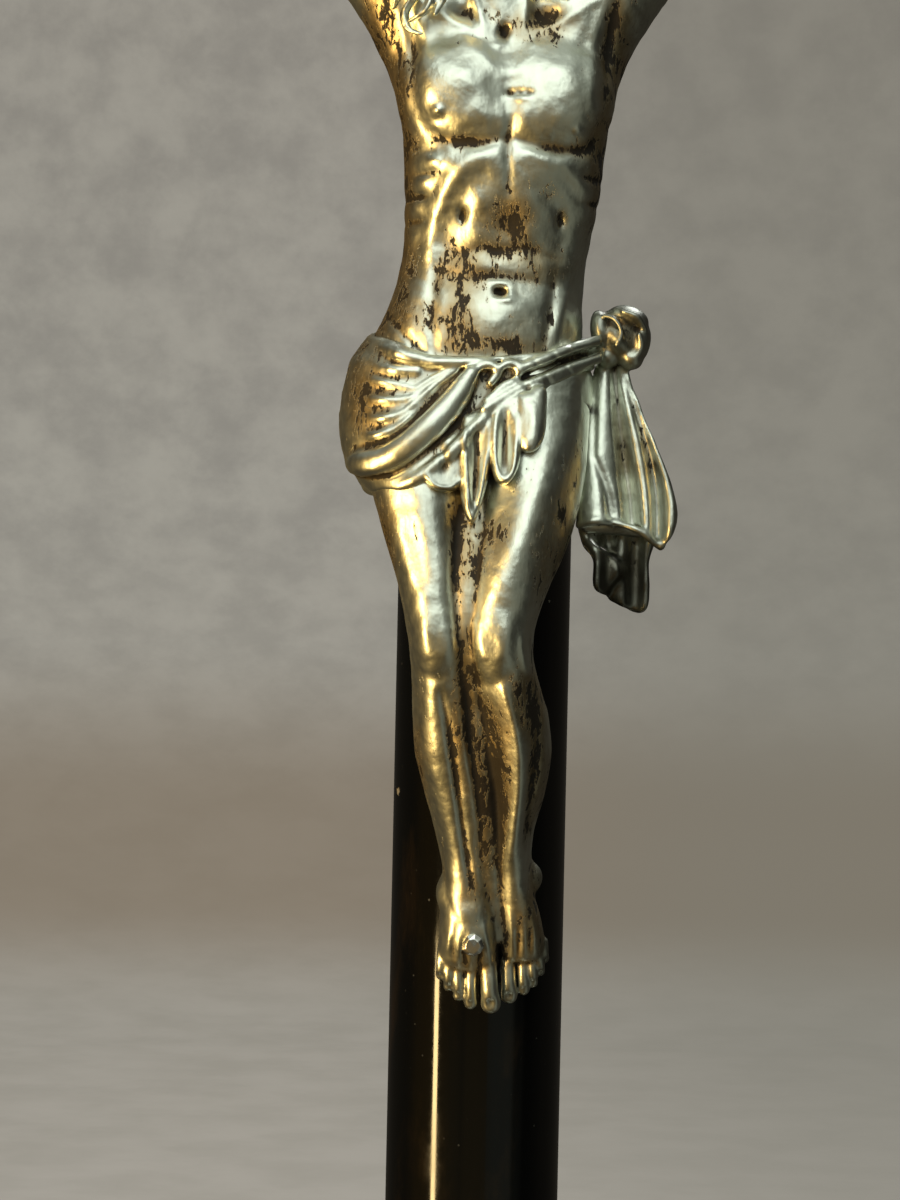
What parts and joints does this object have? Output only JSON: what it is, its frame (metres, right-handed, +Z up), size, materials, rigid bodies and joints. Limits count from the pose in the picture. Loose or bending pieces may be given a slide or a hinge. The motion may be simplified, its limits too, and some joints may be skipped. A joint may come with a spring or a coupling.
{
  "type": "processional cross",
  "caption": "Processional cross of round black lacquered beams with a cast silvered corpus, turned terminals, a hollow knop and a staff socket with a clamp screw.",
  "frame": {"origin": "centre of the staff socket's mouth, at its lower edge", "axes": "+Z up the staff to the top terminal, -Y towards the side that the corpus faces, +X to the right of someone who looks at the corpus"},
  "size_m": [0.3156, 0.0998, 0.6358],
  "materials": {
    "lacquered_wood": "gloss black lacquer over turned hardwood",
    "corpus_silver": "silvered cast brass, chased, dark patina in the hollows",
    "fittings_silver": "silvered turned and spun brass, worn bright on the edges",
    "dark_silver": "silvered brass with a heavier patina",
    "steel": "plain machined steel",
    "dowel_wood": "bare beech",
    "bare_brass": "turned brass, unplated"
  },
  "bodies": {
    "cross": {"upright_beam": "lacquered_wood", "left_arm_beam": "lacquered_wood", "right_arm_beam": "lacquered_wood", "arm_dowel": "dowel_wood", "top_cap": "fittings_silver", "left_cap": "fittings_silver", "right_cap": "fittings_silver", "top_finial": "fittings_silver", "left_finial": "fittings_silver", "right_finial": "fittings_silver", "terminal_studs": "steel", "title_plaque": "fittings_silver", "title_pins": "dark_silver", "corpus_body": "corpus_silver", "corpus_left_arm": "corpus_silver", "corpus_right_arm": "corpus_silver", "shoulder_dowels": "steel", "crown_of_thorns": "dark_silver", "loincloth_tail": "corpus_silver", "tail_pin": "steel", "left_hand_nail": "dark_silver", "right_hand_nail": "dark_silver", "foot_nail": "dark_silver", "back_screws": "steel", "back_washers": "fittings_silver", "upright_cup": "fittings_silver", "upper_neck": "fittings_silver", "knop_upper_shell": "fittings_silver", "knop_lower_shell": "fittings_silver", "knop_band": "fittings_silver", "knop_bosses": "dark_silver", "knop_spacer": "steel", "lower_neck": "fittings_silver", "socket_tube": "fittings_silver", "socket_collar": "fittings_silver", "socket_lip": "fittings_silver", "clamp_boss": "fittings_silver", "tie_rod": "steel", "tie_nut": "steel", "tie_washer": "steel"},
    "clamp_shoe_body": {"clamp_shoe": "bare_brass"},
    "clamp_screw_body": {"clamp_screw": "fittings_silver"}
  },
  "joints": [
    {"name": "clamp_shoe_slide", "type": "slide", "parent": "cross", "child": "clamp_shoe_body", "axis": [0, -1, 0], "range_m": [0, 0.00187]},
    {"name": "clamp_screw_turn", "type": "hinge", "parent": "clamp_shoe_body", "child": "clamp_screw_body", "pos_m": [0, 0.03, 0.038], "axis": [0, -1, 0], "range_deg": [0, 540]}
  ],
  "couplings": [
    {"joint": "clamp_screw_turn", "follows": "clamp_shoe_slide", "rad_per_m": 5026.5}
  ]
}
